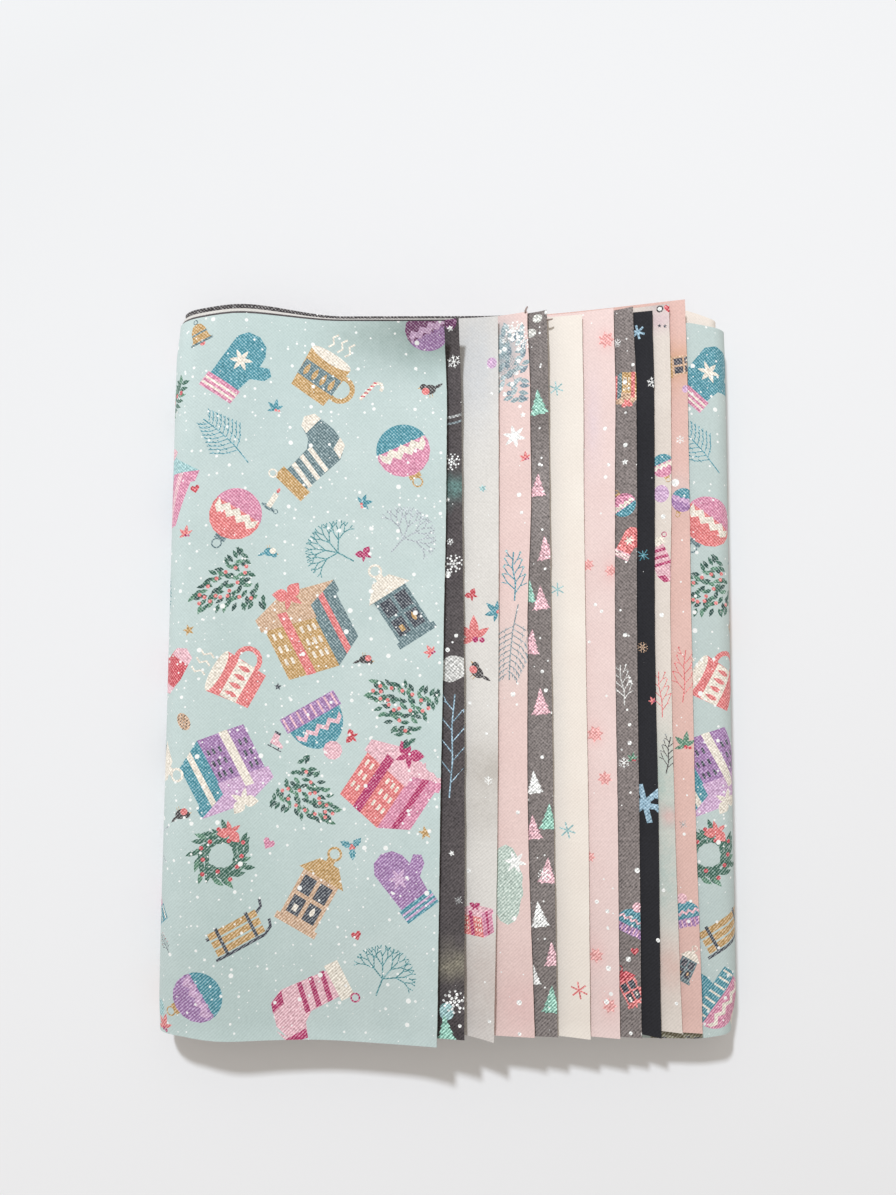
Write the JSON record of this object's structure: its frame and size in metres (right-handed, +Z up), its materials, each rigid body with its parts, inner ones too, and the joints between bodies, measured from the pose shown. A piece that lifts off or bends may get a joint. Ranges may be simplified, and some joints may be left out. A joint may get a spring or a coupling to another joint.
{
  "type": "bundle of folded fabric strips",
  "caption": "Bundle of printed cotton strips laid on each other and folded in three, with fanned cut edges.",
  "frame": {"origin": "centre of the folded bundle in plan, on the surface that it lies on", "axes": "+X across the folds, towards the fold that is turned in first; +Y along the folds, towards the head of the bundle; +Z up"},
  "size_m": [0.2018, 0.26, 0.0199],
  "materials": {
    "blue_print_cotton": "matte plain weave, pale aqua cotton, small winter print",
    "charcoal_cotton": "matte plain weave, charcoal cotton with snowflakes",
    "off_white_cotton": "matte plain weave, pale grey watercolour cotton",
    "pink_cotton": "matte plain weave, pink cotton with drawn trees",
    "fir_print_cotton": "matte plain weave, taupe cotton with small firs",
    "cream_cotton": "matte plain weave, cream cotton with sparse snowflakes",
    "pale_pink_cotton": "matte plain weave, pale pink cotton with coral snowflakes",
    "taupe_dots_cotton": "matte plain weave, taupe cotton with white dots",
    "black_cotton": "matte plain weave, near-black cotton with teal stars",
    "cream_patches_cotton": "matte plain weave, cream cotton with soft patches",
    "salmon_cotton": "matte plain weave, salmon cotton with white dots"
  },
  "bodies": {
    "root": {"strip_01_blue_print": "blue_print_cotton", "strip_02_charcoal": "charcoal_cotton", "strip_03_off_white": "off_white_cotton", "strip_04_pink": "pink_cotton", "strip_05_fir_print": "fir_print_cotton", "strip_06_cream": "cream_cotton", "strip_07_pale_pink": "pale_pink_cotton", "strip_08_taupe_dots": "taupe_dots_cotton", "strip_09_black": "black_cotton", "strip_10_cream_patches": "cream_patches_cotton", "strip_11_salmon": "salmon_cotton"}
  },
  "joints": []
}
